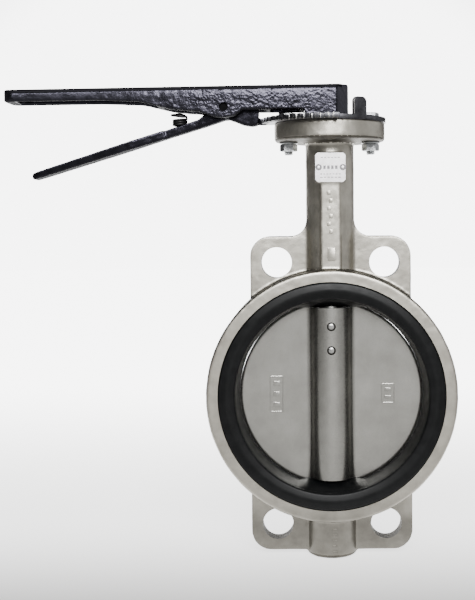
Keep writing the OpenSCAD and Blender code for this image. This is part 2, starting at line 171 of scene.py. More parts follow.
def meshFrom(name, vertices, faces):
    mesh = bpy.data.meshes.new(name)
    mesh.from_pydata([Vector(v) * mm for v in vertices], [], faces)
    shape = bmesh.new()
    shape.from_mesh(mesh)
    bmesh.ops.remove_doubles(shape, verts=shape.verts, dist=1e-7)
    bmesh.ops.recalc_face_normals(shape, faces=shape.faces)
    shape.to_mesh(mesh)
    shape.free()
    return addObject(name, mesh)


def lathe(name, profile, axis="Z", steps=96, loop=False):
    # turns (radius, height) points round an axis; a loop is a ring that doesn't touch the axis
    vertices, faces = [], []
    count = len(profile)
    for i in range(steps):
        a = 2 * math.pi * i / steps
        for r, h in profile:
            u, v = r * math.cos(a), r * math.sin(a)
            vertices.append({"X": (h, u, v), "Y": (u, h, v), "Z": (u, v, h)}[axis])
    for i in range(steps):
        j = (i + 1) % steps
        for k in range(count if loop else count - 1):
            m = (k + 1) % count
            faces.append((i * count + k, j * count + k, j * count + m, i * count + m))
    return meshFrom(name, vertices, faces)


def cylinder(name, r, low, high, axis, steps):
    return lathe(name, [(0, low), (r, low), (r, high), (0, high)], axis, steps)


def tube(name, inner, outer, low, high, axis, steps):
    return lathe(name, [(inner, low), (outer, low), (outer, high), (inner, high)], axis, steps, loop=True)


def prism(name, outline, low, high, plane="XZ"):
    # a flat outline given a thickness along the third axis
    count = len(outline)
    vertices = []
    for depth in (low, high):
        for a, b in outline:
            vertices.append({"XZ": (a, depth, b), "XY": (a, b, depth), "YZ": (depth, a, b)}[plane])
    faces = [tuple(range(count)), tuple(range(2 * count - 1, count - 1, -1))]
    for i in range(count):
        j = (i + 1) % count
        faces.append((i, j, count + j, count + i))
    return meshFrom(name, vertices, faces)


def bake(obj):
    # makes the modifiers' result the object's own mesh
    graph = bpy.context.evaluated_depsgraph_get()
    graph.update()
    made = bpy.data.meshes.new_from_object(obj.evaluated_get(graph))
    obj.modifiers.clear()
    old = obj.data
    obj.data = made
    bpy.data.meshes.remove(old)
    return obj


def drop(obj):
    mesh = obj.data
    bpy.data.objects.remove(obj)
    bpy.data.meshes.remove(mesh)


def combine(obj, others, operation="DIFFERENCE"):
    for other in others:
        step = obj.modifiers.new("combine", "BOOLEAN")
        step.operation = operation
        step.solver = "MANIFOLD"
        step.object = other
        bake(obj)
        drop(other)
    return obj


def joined(name, parts):
    # several shapes as one object, before they are melted into each other
    shape = bmesh.new()
    for part in parts:
        shape.from_mesh(part.data)
        drop(part)
    mesh = bpy.data.meshes.new(name)
    shape.to_mesh(mesh)
    shape.free()
    return addObject(name, mesh)


def melted(obj, grain, rounds):
    # one skin over everything, with soft inner and outer corners as a casting has
    skin = obj.modifiers.new("skin", "REMESH")
    skin.mode = "VOXEL"
    skin.voxel_size = grain * mm
    soft = obj.modifiers.new("soft", "SMOOTH")
    soft.factor = 0.5
    soft.iterations = rounds
    return bake(obj)


def roughened(obj, size, depth, seed, keep=None):
    # pushes the skin in and out a little, as sand leaves it; keep(point) from 0 to 1 limits it
    mesh = obj.data
    normals = [n.vector.copy() for n in mesh.vertex_normals]
    finer, finerShare = 2.3, 0.5
    for vertex, normal in zip(mesh.vertices, normals):
        point = vertex.co / (size * mm) + Vector((seed, seed, seed))
        lift = noise.noise(point) + finerShare * noise.noise(point * finer)
        share = keep(vertex.co / mm) if keep else 1
        vertex.co += normal * lift * depth * mm * share
    return obj


def within(obj, nodeName):
    # no roughening reaches past the box of the piece it stands for
    low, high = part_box(nodeName)
    for vertex in obj.data.vertices:
        vertex.co = [min(max(v, a), b) for v, a, b in zip(vertex.co, low, high)]
    return obj


def shaded(obj, angle=35):
    for face in obj.data.polygons:
        face.use_smooth = True
    obj.data.set_sharp_from_angle(angle=math.radians(angle))
    return obj


def bevelled(obj, width):
    edge = obj.modifiers.new("edge", "BEVEL")
    edge.width = width * mm
    edge.segments = 2
    edge.limit_method = "ANGLE"
    edge.angle_limit = math.radians(30)
    edge.harden_normals = False
    return bake(obj)


def placed(obj, move=(0, 0, 0), turn=0):
    obj.data.transform(Matrix.Translation(Vector(move) * mm) @ Matrix.Rotation(math.radians(turn), 4, "Z"))
    return obj


def settle(obj, body, slot, material, *nodes):
    obj.data.materials.clear()
    obj.data.materials.append(material)
    if body:
        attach(obj, body)
    if nodes:
        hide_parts(*nodes)
    return obj


# materials

def linear(hexColour):
    out = []
    for i in (0, 2, 4):
        c = int(hexColour[i:i + 2], 16) / 255
        out.append(c / 12.92 if c <= 0.04045 else ((c + 0.055) / 1.055) ** 2.4)
    return (*out, 1)


def addNode(tree, kind, settings=None, links=None):
    # settings name an input, a property of the node or the stops of its colour ramp
    made = tree.nodes.new(kind)
    for name, value in (settings or {}).items():
        if name == "stops":
            for element, (where, colour) in zip(made.color_ramp.elements, value):
                element.position, element.color = where, colour
        elif isinstance(name, int) or name in made.inputs:
            made.inputs[name].default_value = value
        else:
            setattr(made, name, value)
    for name, source in (links or {}).items():
        tree.links.new(source, made.inputs[name])
    return made


def startMaterial(name):
    material = bpy.data.materials.new(name)
    material.use_nodes = True
    tree = material.node_tree
    tree.nodes.clear()
    shader = addNode(tree, "ShaderNodeBsdfPrincipled")
    addNode(tree, "ShaderNodeOutputMaterial", links={"Surface": shader.outputs["BSDF"]})
    place = addNode(tree, "ShaderNodeTexCoord").outputs["Object"]
    return material, tree, shader, place


def grey(value):
    return (value, value, value, 1)


def grit(sizeMm, detail, roughness):
    return {"Scale": 1 / (sizeMm * mm), "Detail": detail, "Roughness": roughness}


def shades(look, low, high):
    return {"stops": [(low, linear(look["dark"])), (high, linear(look["light"]))]}


def dullness(look, low, high, less, more):
    return {"stops": [(low, grey(look["rough"] - less)), (high, grey(look["rough"] + more))]}


def blastedSteel(name, look):
    # CF8 stainless casting, shot blasted: pale warm grey, broad soft highlights with a fine even grain
    material, tree, shader, place = startMaterial(name)
    patches = addNode(tree, "ShaderNodeTexNoise", grit(look["patch"], 4, 0.6), {"Vector": place}).outputs["Fac"]
    grain = addNode(tree, "ShaderNodeTexNoise", grit(look["grain"], 2, 0.6), {"Vector": place}).outputs["Fac"]
    dents = addNode(tree, "ShaderNodeTexNoise", grit(look["dent"], 2, 0.5), {"Vector": place}).outputs["Fac"]
    colour = addNode(tree, "ShaderNodeValToRGB", shades(look, 0.3, 0.72), {"Fac": patches}).outputs["Color"]
    sheen = addNode(tree, "ShaderNodeValToRGB", dullness(look, 0.25, 0.75, 0.06, 0.07), {"Fac": grain})
    if "footPaintedShade" in look:
        # painted shade: the foot of the casting is darkened towards the bottom and stays greyer than the rest
        height = addNode(tree, "ShaderNodeSeparateXYZ", links={"Vector": place}).outputs["Z"]
        aboveFoot = addNode(tree, "ShaderNodeMapRange", {"interpolation_type": "SMOOTHSTEP",
                        "From Min": look["footLow"] * mm, "From Max": look["footHigh"] * mm}, {"Value": height})
        stops = [(0.0, grey(look["footPaintedShade"])), (1.0, grey(1.0))]
        shade = addNode(tree, "ShaderNodeValToRGB", {"stops": stops}, {"Fac": aboveFoot.outputs["Result"]})
        colour = addNode(tree, "ShaderNodeMix", {"data_type": "RGBA", "blend_type": "MULTIPLY", 0: 1.0},
                         {6: colour, 7: shade.outputs["Color"]}).outputs[2]
    tree.links.new(colour, shader.inputs["Base Color"])
    tree.links.new(sheen.outputs["Color"], shader.inputs["Roughness"])
    shader.inputs["Metallic"].default_value = 1
    soft = addNode(tree, "ShaderNodeBump", {"Distance": look["dentDepth"] * mm}, {"Height": dents})
    fine = addNode(tree, "ShaderNodeBump", {"Distance": look["grainDepth"] * mm},
                   {"Height": grain, "Normal": soft.outputs["Normal"]})
    tree.links.new(fine.outputs["Normal"], shader.inputs["Normal"])
    return material


def dullSkin(name, look):
    # rubber, plastic or an oxide film: an even body colour with a soft wide sheen and a faint bloom
    material, tree, shader, place = startMaterial(name)
    bloom = addNode(tree, "ShaderNodeTexNoise", grit(look["bloom"], 4, 0.6), {"Vector": place}).outputs["Fac"]
    grain = addNode(tree, "ShaderNodeTexNoise", grit(look["grain"], 2, 0.5), {"Vector": place}).outputs["Fac"]
    colour = addNode(tree, "ShaderNodeValToRGB", shades(look, 0.35, 0.75), {"Fac": bloom})
    sheen = addNode(tree, "ShaderNodeValToRGB", dullness(look, 0.3, 0.7, 0.05, 0.08), {"Fac": bloom})
    fine = addNode(tree, "ShaderNodeBump", {"Distance": look["depth"] * mm}, {"Height": grain})
    tree.links.new(colour.outputs["Color"], shader.inputs["Base Color"])
    tree.links.new(sheen.outputs["Color"], shader.inputs["Roughness"])
    tree.links.new(fine.outputs["Normal"], shader.inputs["Normal"])
    shader.inputs["IOR"].default_value = 1.52
    shader.inputs["Specular IOR Level"].default_value = look["sheen"]
    return material


def enamelledIron(name, look):
    # iron under thick gloss black enamel: the sand's pebbling breaks each highlight into specks
    material, tree, shader, place = startMaterial(name)
    pebbles = addNode(tree, "ShaderNodeTexNoise", grit(look["pebble"], 1, 0.5), {"Vector": place})
    lumps = addNode(tree, "ShaderNodeTexNoise", grit(look["lump"], 1, 0.5), {"Vector": place}).outputs["Fac"]
    colour = addNode(tree, "ShaderNodeValToRGB", shades(look, 0.3, 0.7), {"Fac": lumps})
    tree.links.new(colour.outputs["Color"], shader.inputs["Base Color"])
    # painted shade: faces that look down get a rough coat with little reflection, so they stay dark
    normal = addNode(tree, "ShaderNodeNewGeometry").outputs["Normal"]
    facing = addNode(tree, "ShaderNodeSeparateXYZ", links={"Vector": normal}).outputs["Z"]
    notFacingDown = addNode(tree, "ShaderNodeMapRange", {"interpolation_type": "SMOOTHSTEP", "From Min": -0.75,
                  "From Max": -0.35}, {"Value": facing}).outputs["Result"]
    gloss = addNode(tree, "ShaderNodeValToRGB", dullness(look, 0.3, 0.75, 0, 0.1), {"Fac": lumps})
    coat = addNode(tree, "ShaderNodeMix", {"data_type": "FLOAT", 2: look["undersideRough"]},
                   {0: notFacingDown, 3: gloss.outputs["Color"]})
    tree.links.new(coat.outputs[0], shader.inputs["Roughness"])
    mirror = addNode(tree, "ShaderNodeMapRange", {"To Min": 0.1, "To Max": look["gloss"]}, {"Value": notFacingDown})
    tree.links.new(mirror.outputs["Result"], shader.inputs["Specular IOR Level"])
    shader.inputs["IOR"].default_value = 1.5
    shader.inputs["Specular Tint"].default_value = linear(look["tint"])
    # the head is pebbled more than the hand-dressed grip
    along = addNode(tree, "ShaderNodeSeparateXYZ", links={"Vector": place}).outputs["X"]
    settings = {"From Min": look["smoothEnd"] * mm, "From Max": look["roughEnd"] * mm,
                "To Min": look["gripShare"], "To Max": 1.0}
    share = addNode(tree, "ShaderNodeMapRange", settings, {"Value": along})
    height = addNode(tree, "ShaderNodeMath", {"operation": "MULTIPLY"},
                     {0: pebbles.outputs["Fac"], 1: share.outputs["Result"]})
    soft = addNode(tree, "ShaderNodeBump", {"Distance": look["lumpDepth"] * mm}, {"Height": lumps})
    fine = addNode(tree, "ShaderNodeBump", {"Distance": look["depth"] * mm},
                   {"Height": height.outputs["Value"], "Normal": soft.outputs["Normal"]})
    tree.links.new(fine.outputs["Normal"], shader.inputs["Normal"])
    return material


def workedMetal(name, look):
    # machined, stamped or plated metal: tool marks as fine grain, brighter than the castings
    material, tree, shader, place = startMaterial(name)
    patches = addNode(tree, "ShaderNodeTexNoise", grit(look["patch"], 4, 0.6), {"Vector": place}).outputs["Fac"]
    grain = addNode(tree, "ShaderNodeTexNoise", grit(look["grain"], 2, 0.6), {"Vector": place}).outputs["Fac"]
    colour = addNode(tree, "ShaderNodeValToRGB", shades(look, 0.3, 0.7), {"Fac": patches})
    sheen = addNode(tree, "ShaderNodeValToRGB", dullness(look, 0.3, 0.7, 0.06, 0.08), {"Fac": grain})
    fine = addNode(tree, "ShaderNodeBump", {"Distance": look["depth"] * mm}, {"Height": grain})
    tree.links.new(colour.outputs["Color"], shader.inputs["Base Color"])
    tree.links.new(sheen.outputs["Color"], shader.inputs["Roughness"])
    tree.links.new(fine.outputs["Normal"], shader.inputs["Normal"])
    shader.inputs["Metallic"].default_value = 1
    return material


# sizes in each finish are in millimetres; grain under about 0.5 mm is drawn that coarse so that it shows
# shot leaves the casting pale and even; its foot is darkened with painted shade
castSteel = blastedSteel("blastedCastStainless", {
    "dark": "a8a49a", "light": "c8c4b9", "patch": 14, "grain": 0.7, "dent": 5, "rough": 0.38,
    "grainDepth": 0.02, "dentDepth": 0.08, "footPaintedShade": 0.36, "footLow": -118, "footHigh": -80})
# painted shade: a dull brown-grey version of the casting for faces that lie in shade
paintedShadeSkin = blastedSteel("paintedShadeCastSkin", {
    "dark": "48453f", "light": "67645d", "patch": 10, "grain": 0.9, "dent": 5, "rough": 0.6,
    "grainDepth": 0.04, "dentDepth": 0.1})
# finer shot and a light polish: a silky cool grey with long soft highlights
discSteel = blastedSteel("satinCastDisc", {
    "dark": "a2a19c", "light": "b6b5b0", "patch": 20, "grain": 0.5, "dent": 7, "rough": 0.29,
    "grainDepth": 0.006, "dentDepth": 0.03})
# EPDM pressed in a polished mould: near black with one wide soft sheen
seatRubber = dullSkin("mouldedEpdmSeat", {
    "dark": "060708", "light": "0d0e0f", "bloom": 9, "grain": 0.4, "rough": 0.38, "depth": 0.003,
    "sheen": 0.18})
# nitrile rings: a little paler and greasier than the seat
sealRubber = dullSkin("mouldedNitrileSeal", {
    "dark": "121314", "light": "1c1d1e", "bloom": 3, "grain": 0.3, "rough": 0.4, "depth": 0.01,
    "sheen": 0.5})
# enamel sprayed over a sand casting: wet black with sharp specks on the pebbles
blackEnamel = enamelledIron("blackEnamelCastIron", {
    "dark": "0b0b0d", "light": "151518", "pebble": 2.2, "lump": 7, "rough": 0.16, "undersideRough": 0.75,
    "gloss": 0.5, "tint": "dfdcf6", "depth": 0.28, "lumpDepth": 0.1,
    "smoothEnd": -150, "roughEnd": -104, "gripShare": 0.35})
# the same enamel over rolled bar: smooth, with long clean reflections
smoothEnamel = enamelledIron("blackEnamelBarSteel", {
    "dark": "09090b", "light": "111114", "pebble": 3, "lump": 9, "rough": 0.13, "undersideRough": 0.75,
    "gloss": 0.28, "tint": "dfdcf6", "depth": 0.03, "lumpDepth": 0.04,
    "smoothEnd": -200, "roughEnd": -120, "gripShare": 1.0})
# stamped and chemically blacked: dark bluish grey, still metallic
plateSteel = workedMetal("blackenedStampedSteel", {
    "dark": "3a3a3d", "light": "5e5e62", "patch": 5, "grain": 0.5, "rough": 0.36, "depth": 0.03})
# turned stainless: bright and clean
stemSteel = workedMetal("turnedStainless", {
    "dark": "a8a8a6", "light": "c0c0bd", "patch": 6, "grain": 0.3, "rough": 0.28, "depth": 0.01})
# bright zinc over cold-headed steel: cold light grey with small cloudy patches
zincSteel = workedMetal("zincPlatedSteel", {
    "dark": "9a9c9e", "light": "c2c4c6", "patch": 3, "grain": 0.3, "rough": 0.3, "depth": 0.02})
# drawn wire in black oxide: black with a thin satin line along each turn
springSteel = dullSkin("blackOxideSpringWire", {
    "dark": "0a0a0b", "light": "141415", "bloom": 3, "grain": 0.3, "rough": 0.42, "depth": 0.004,
    "sheen": 0.3})
# rolled aluminium sheet: nearly white and evenly satin
plateAluminium = workedMetal("stampedAluminiumSheet", {
    "dark": "dddbdb", "light": "f4f2f3", "patch": 4, "grain": 0.3, "rough": 0.38, "depth": 0.015})
# etched lines in the sheet: mid grey and matte
etchedAluminium = workedMetal("etchedAluminium", {
    "dark": "6a686b", "light": "8a888b", "patch": 1.5, "grain": 0.4, "rough": 0.5, "depth": 0.01})
# painted highlight: bare, shiny steel for the notch plate's narrow bevels
paintedHighlightSteel = workedMetal("paintedHighlightEdge", {
    "dark": "9c9b99", "light": "c9c8c6", "patch": 2, "grain": 0.3, "rough": 0.3, "depth": 0.01})
# pressed and sintered bronze: dull yellow brown
bronze = workedMetal("sinteredBronze", {
    "dark": "8a6a3c", "light": "a5834d", "patch": 3, "grain": 0.4, "rough": 0.45, "depth": 0.03})
# painted shade: almost black steel for the bottom of narrow gaps
creviceShade = workedMetal("paintedCreviceShade", {
    "dark": "1c1a18", "light": "2c2a27", "patch": 2, "grain": 0.3, "rough": 0.6, "depth": 0.01})
# the pivot pin: black without any highlight
blackPinSteel = dullSkin("blackPivotPin", {
    "dark": "050506", "light": "09090a", "bloom": 3, "grain": 0.4, "rough": 0.6, "depth": 0.01,
    "sheen": 0.05})
# turned PTFE: waxy off-white
ptfe = dullSkin("turnedPtfe", {
    "dark": "d6d3c8", "light": "e6e4da", "bloom": 5, "grain": 0.4, "rough": 0.5, "depth": 0.01,
    "sheen": 0.5})
print("materials made")


# body casting

bodyShape = {"ringBore": 88, "core": 80, "halfWidth": 28, "ringEdge": 2.2,
             "lugRim": 9.4, "lugHalf": 7, "lugCorner": 17,
             "neckR": 20.55, "neckFoot": 90, "neckTop": flangeTop - 15.5, "neckFillet": 13,
             "flangeR": 47, "flangeRoot": 4, "flangeEdge": 2, "flangeRim": 0.8,
             "bossR": 21.35, "bossTop": -90, "bossEdge": 3.5,
             "padInset": 0.6, "padCorner": 3, "stripHalf": 8.5, "stripFoot": 100, "stripRise": 1, "root": -8,
             "grain": 1.15, "melt": 2, "sandSize": 9, "sandDepth": 0.16,
             "lipPocket": 24.5, "lipGap": 0.15, "stemGap": 0.05, "footDepth": 5.5, "collarDepth": 10,
             "collarWall": 3, "cut": 60}


def lugOutline(shape):
    # a rectangle with round corners, flared into the neck above and straight into the boss below
    wide, tall = (v + holeR + shape["lugRim"] for v in (holeX, holeZ))
    corner = shape["lugCorner"]
    neckR, fillet = shape["neckR"], shape["neckFillet"]
    cornerSteps, filletSteps = 12, 10
    right = arc(wide - corner, tall - corner, corner, 0, 90, cornerSteps)
    right += arc(neckR + fillet, tall + fillet, fillet, 270, 180, filletSteps)
    upper = right + [(-x, z) for x, z in reversed(right)]
    lower = arc(-wide + corner, -tall + corner, corner, 180, 270, cornerSteps)
    return upper + lower + arc(wide - corner, -tall + corner, corner, 270, 360, cornerSteps)


def makeBody(shape):
    half, edge, core, cut = shape["halfWidth"], shape["ringEdge"], shape["core"], shape["cut"]
    ring = lathe("ring", rounded([(core, -half, 0), (ringR, -half, edge), (ringR, half, edge),
                                  (core, half, 0)]), "Y", 240, loop=True)
    lugs = prism("lugs", lugOutline(shape), -shape["lugHalf"], shape["lugHalf"])
    neckTop, neckR, flangeR, foot = shape["neckTop"], shape["neckR"], shape["flangeR"], shape["neckFoot"]
    neck = lathe("neck", rounded([(0, foot, 0), (neckR, foot, 0), (neckR, neckTop, shape["flangeRoot"]),
                                  (flangeR, neckTop, shape["flangeEdge"]),
                                  (flangeR, flangeTop, shape["flangeRim"]), (0, flangeTop, 0)],
                                 closed=False), "Z", 120)
    bossR, bossTop = shape["bossR"], shape["bossTop"]
    boss = lathe("boss", rounded([(0, bossLow, 0), (bossR, bossLow, shape["bossEdge"]), (bossR, bossTop, 0),
                                  (0, bossTop, 0)], closed=False), "Z", 96)
    inset = shape["padInset"]
    padHalf, padLow, padHigh = (nameHigh[0] - nameLow[0]) / 2 - inset, nameLow[2] + inset, nameHigh[2] - inset
    pad = prism("pad", rounded(boxCorners(-padHalf, padHalf, padLow, padHigh, shape["padCorner"])),
                nameHigh[1], shape["root"])
    stripHalf, stripTop = shape["stripHalf"], nameLow[2] + 2
    strip = prism("strip", rounded(boxCorners(-stripHalf, stripHalf, shape["stripFoot"], stripTop, 1)),
                  -(neckR + shape["stripRise"]), shape["root"])
    body = melted(joined("bodyCasting", [ring, lugs, neck, boss, pad, strip]), shape["grain"], shape["melt"])
    within(roughened(body, shape["sandSize"], shape["sandDepth"], seed=3), "body")
    # the machined openings come after the casting's skin
    cutters = [cylinder("bore", shape["ringBore"], -cut, cut, "Y", 240)]
    for side in (-1, 1):
        pocketR, pocket = lipR + shape["lipGap"], shape["lipPocket"]
        cutters.append(cylinder("lipSeat", pocketR, side * pocket, side * cut, "Y", 240))
        for level in (-1, 1):
            hole = cylinder("hole", holeR, -cut, cut, "Y", 72)
            cutters.append(placed(hole, (side * holeX, 0, level * holeZ)))
    above = flangeTop + 5
    for turn in range(0, 360, 90):
        hole = cylinder("topHole", topHoleR, neckTop - 12, above, "Z", 48)
        cutters.append(placed(placed(hole, (boltX, 0, 0)), turn=turn))
    stemHole, collar = bushR + shape["stemGap"], flangeTop - shape["collarDepth"]
    collarR, floor = stemHole + shape["collarWall"], bossLow + shape["footDepth"]
    cutters.append(lathe("stemHole", [(0, floor), (stemHole, floor), (stemHole, collar), (collarR, collar),
                                      (collarR, above), (0, above)], "Z", 72))
    return shaded(combine(body, cutters), 40)


body = makeBody(bodyShape)
settle(body, rootBody, "cast_steel", castSteel, "body")

# painted shade: the ring's outside, the lugs' rims, the underside of the flange and the foot get the darker
# brown-grey casting
shadePlaces = {"ringBand": 1.3, "rimFrom": 6, "rimLow": 25, "rimHigh": 40, "underLow": -3.5, "underHigh": 1.8,
              "offNeck": 0.7, "foot": 3, "frontLimit": 0.6}
body.data.materials.append(paintedShadeSkin)
for face in body.data.polygons:
    x, y, z = face.center / mm
    onRing = abs(math.hypot(x, z) - ringR) < shadePlaces["ringBand"]
    beside = abs(x) > bodyShape["neckR"] + shadePlaces["rimFrom"] and abs(y) < bodyShape["lugHalf"] + 1
    onRim = beside and holeZ - holeR - shadePlaces["rimLow"] < abs(z) < holeZ + shadePlaces["rimHigh"]
    offNeck = math.hypot(x, y) > bodyShape["neckR"] + shadePlaces["offNeck"]
    underFlange = offNeck and shadePlaces["underLow"] < z - bodyShape["neckTop"] < shadePlaces["underHigh"]
    onFoot = z < bossLow + shadePlaces["foot"]
    if abs(face.normal.y) < shadePlaces["frontLimit"] and (onRing or onRim) or underFlange or onFoot:
        face.material_index = 1
print("body casting made", len(body.data.vertices))


# rubber seat

seatShape = {"bore": discR + 0.3, "throat": 7, "mouth": 80.4, "mouthY": 24, "back": 87.9, "lip": 24.6,
             "innerFall": 1.7, "outerFall": 1.3, "crown": 9, "flat": hubEnd + 0.3, "flatFrom": 17,
             "flatFade": 8, "stemGap": 0.15}


def makeSeat(shape):
    bore, mouth, back, lip, flat = (shape[k] for k in ("bore", "mouth", "back", "lip", "flat"))
    crest, innerEdge, outerEdge = (mouth + lipR) / 2, faceY - shape["innerFall"], faceY - shape["outerFall"]
    # (radius, distance from the middle, corner) from the bore out over the lip and back
    half = [(bore, shape["throat"], 14), (mouth, shape["mouthY"], 12), (mouth + 0.8, innerEdge, 2.4),
            (crest, faceY, shape["crown"]), (lipR, outerEdge, 2), (lipR, lip, 0.4), (back, lip, 0)]
    profile = rounded([(r, -y, corner) for r, y, corner in half] + half[::-1], 8)
    seat = lathe("seatLiner", profile, "Y", 360, loop=True)
    for vertex in seat.data.vertices:
        # flat pads round the stem, where the hub ends seal
        x, y, z = vertex.co / mm
        if math.hypot(x, z) > back - 1 or abs(z) < flat:
            continue
        fade = min(1, max(0, (abs(y) - shape["flatFrom"]) / shape["flatFade"]))
        fade = fade * fade * (3 - 2 * fade)
        vertex.co.z = math.copysign(flat + (abs(z) - flat) * fade, z) * mm
    return shaded(combine(seat, [cylinder("hole", stemR + shape["stemGap"], -100, 100, "Z", 64)]), 50)


seat = makeSeat(seatShape)
settle(seat, rootBody, "seat_rubber", seatRubber, "seat_liner")
print("seat made")


# disc

discShape = {"plateHalf": 5, "edgeHalf": 4.2, "band": 1.8, "fillet": 6, "rings": 110, "around": 480,
             "stemGap": 0.05, "recessWide": 0.9, "recessDepth": 1.2, "creviceDepth": 0.75}


def discHeight(x, z, shape):
    # half thickness of the disc at a point: the plate, the hub and the concave corners between them
    plate = shape["plateHalf"]
    r = math.hypot(x, z)
    inner = discR - shape["band"]
    if r > inner:
        plate -= (plate - shape["edgeHalf"]) * (r - inner) / shape["band"]
    fillet = shape["fillet"]
    centreY = shape["plateHalf"] + fillet
    centreX = math.sqrt((hubR + fillet) ** 2 - centreY ** 2)
    touch = centreX * hubR / (hubR + fillet)
    x = abs(x)
    if x < touch:
        return math.sqrt(hubR ** 2 - x ** 2)
    if x < centreX:
        return max(plate, centreY - math.sqrt(fillet ** 2 - (centreX - x) ** 2))
    return plate


def makeDisc(shape):
    vertices, faces = [], []
    around, rings = shape["around"], shape["rings"]
    for side in (-1, 1):
        vertices.append((0, side * discHeight(0, 0, shape), 0))
        for i in range(1, rings + 1):
            for k in range(around):
                a = 2 * math.pi * k / around
                reach = min(discR, hubEnd / max(1e-6, abs(math.sin(a))))
                r = reach * i / rings
                x, z = r * math.cos(a), r * math.sin(a)
                y = min(discHeight(x, z, shape), math.sqrt(max(0, discR ** 2 - r * r)) + shape["edgeHalf"])
                vertices.append((x, side * y, z))
    half = 1 + rings * around
    for base in (0, half):
        for k in range(around):
            m = (k + 1) % around
            faces.append((base, base + 1 + k, base + 1 + m))
            for i in range(rings - 1):
                a, b = base + 1 + i * around, base + 1 + (i + 1) * around
                faces.append((a + k, b + k, b + m, a + m))
    rim = 1 + (rings - 1) * around
    for k in range(around):
        m = (k + 1) % around
        faces.append((rim + k, half + rim + k, half + rim + m, rim + m))
    disc = meshFrom("discCasting", vertices, faces)
    gap = shape["stemGap"]
    cutters = [cylinder("stemHole", stemR + gap, -90, 90, "Z", 72)]
    wideR, pinR = taperR + shape["recessWide"], taperR + gap
    end, ledge = hubR + 2, shape["recessDepth"] - hubR
    for z in taperLevels:
        recess = [(0, -end), (wideR, -end), (wideR, ledge), (pinR, ledge), (pinR, end), (0, end)]
        cutters.append(placed(lathe("pinHole", recess, "Y", 48), (0, 0, z)))
    return shaded(combine(disc, cutters), 28)


disc = makeDisc(discShape)
settle(disc, rotorBody, "disc_steel", discSteel, "disc")

# empty frames and blank dashes stand where such castings carry their marks
markShape = {"frameRise": 0.7, "frameLine": 1.0, "frameCorner": 1.6, "innerCorner": 1, "frameBevel": 0.25,
             "barCorner": 0.5, "barBevel": 0.2, "sunk": 0.5}


def makeCastFrame(name, x, z, width, height, shape):
    face, line = -discShape["plateHalf"], shape["frameLine"]
    corners = boxCorners(x - width / 2, x + width / 2, z - height / 2, z + height / 2, shape["frameCorner"])
    outer = prism(name, rounded(corners), face - shape["frameRise"], face + shape["sunk"])
    width, height = width - 2 * line, height - 2 * line
    corners = boxCorners(x - width / 2, x + width / 2, z - height / 2, z + height / 2, shape["innerCorner"])
    inner = prism("inner", rounded(corners), face - 3, face + 3)
    return shaded(bevelled(combine(outer, [inner]), shape["frameBevel"]))


def makeBars(name, places, size, face, rise, shape):
    wide, tall = size
    bars = []
    for x, z in places:
        corners = boxCorners(x - wide / 2, x + wide / 2, z - tall / 2, z + tall / 2, shape["barCorner"])
        bar = prism("bar", rounded(corners, 3), face - rise, face + shape["sunk"])
        bars.append(bevelled(bar, shape["barBevel"]))
    return shaded(joined(name, bars))


frameLevel, frameMargin = -1, 4
for name, x, size, marks in (("discFrameLeft", -46.6, (11.6, 31), 3), ("discFrameRight", 48, (11.4, 17), 2)):
    settle(makeCastFrame(name, x, frameLevel, *size, markShape), rotorBody, "disc_steel", discSteel)
    step = (size[1] - frameMargin) / marks
    places = [(x, frameLevel + step * (i - (marks - 1) / 2)) for i in range(marks)]
    settle(makeBars(name + "Marks", places, (5.5, step * 0.45), -discShape["plateHalf"], 0.6, markShape),
           rotorBody, "disc_steel", discSteel)
stripFace, bossFace = -(bodyShape["neckR"] + bodyShape["stripRise"]), -bodyShape["bossR"] + 0.25
neckPlaces = [(-1.5 + 1.6 * (i % 2), nameLow[2] - 9 - 6.5 * i) for i in range(6)]
bossPlaces = [(2, -113 - 4.6 * i) for i in range(5)]
for name, places, size, face, rise in (("neckMarks", neckPlaces, (3.2, 3.6), stripFace, 0.5),
                                       ("neckDateMark", [(0.5, 118)], (6.5, 11), stripFace, 0.5),
                                       ("bossMarks", bossPlaces, (4.2, 2.6), bossFace, 0.55)):
    settle(makeBars(name, places, size, face, rise, markShape), rootBody, "cast_steel", castSteel)


def makeTaperPins(domed, edge):
    profile = rounded([(0, taperLow[1] - domed, 0), (taperR * 0.95, taperLow[1], edge),
                       (taperR, taperHigh[1], edge), (0, taperHigh[1], 0)], 3, closed=False)
    pins = [placed(lathe("pin", profile, "Y", 40), (0, 0, z)) for z in taperLevels]
    return shaded(joined("taperPins", pins))


def makePinCreviceShades(shape):
    # painted shade: a dark ring at the bottom of the narrow recess round each pin's head
    rings = [placed(tube("ring", taperR + shape["stemGap"], taperR + shape["recessWide"],
                         shape["creviceDepth"] - hubR, shape["recessDepth"] - hubR, "Y", 48), (0, 0, z))
             for z in taperLevels]
    return shaded(joined("taperPinCreviceShades", rings))


settle(makeTaperPins(0.4, 0.5), rotorBody, "stem_steel", stemSteel, "disc_taper_pins")
settle(makePinCreviceShades(discShape), rotorBody, "stem_steel", creviceShade)
print("disc made")


# handle, latch lever and spring

# grip and under hold (x, height, corner) along the lower edge: below the grip's top, then above the base
handleShape = {"gripDrop": 3.4, "endDepth": 10.6, "grip": [(-197, 9.8, 60), (-160, 11.2, 40)],
               "under": [(-134, 8, 30), (-110, 6, 12), (-97, 1.2, 4), (-88, 0.6, 3), (-80, 2.4, 3),
                         (-74, 7.5, 3), (-21, 7.5, 2), (-21, 0.3, 0.8)],
               "baseGap": 0.3, "endCorner": 9.5, "headCorner": 1.5, "bevel": 10, "wall": 4.5,
               "grain": 1.0, "melt": 4, "crownDepth": 10, "crownR": 60, "edgeDepth": 3, "edgeLean": 0.9,
               "sandSize": 5, "sandDepth": 0.22, "smoothShare": 0.35, "smoothTo": -200, "smoothFade": 70,
               "pinDepth": 4, "pinBore": 3.7, "pinHole": 2.52, "pinHead": 1.2, "square": 7.1, "screwR": 3.4}


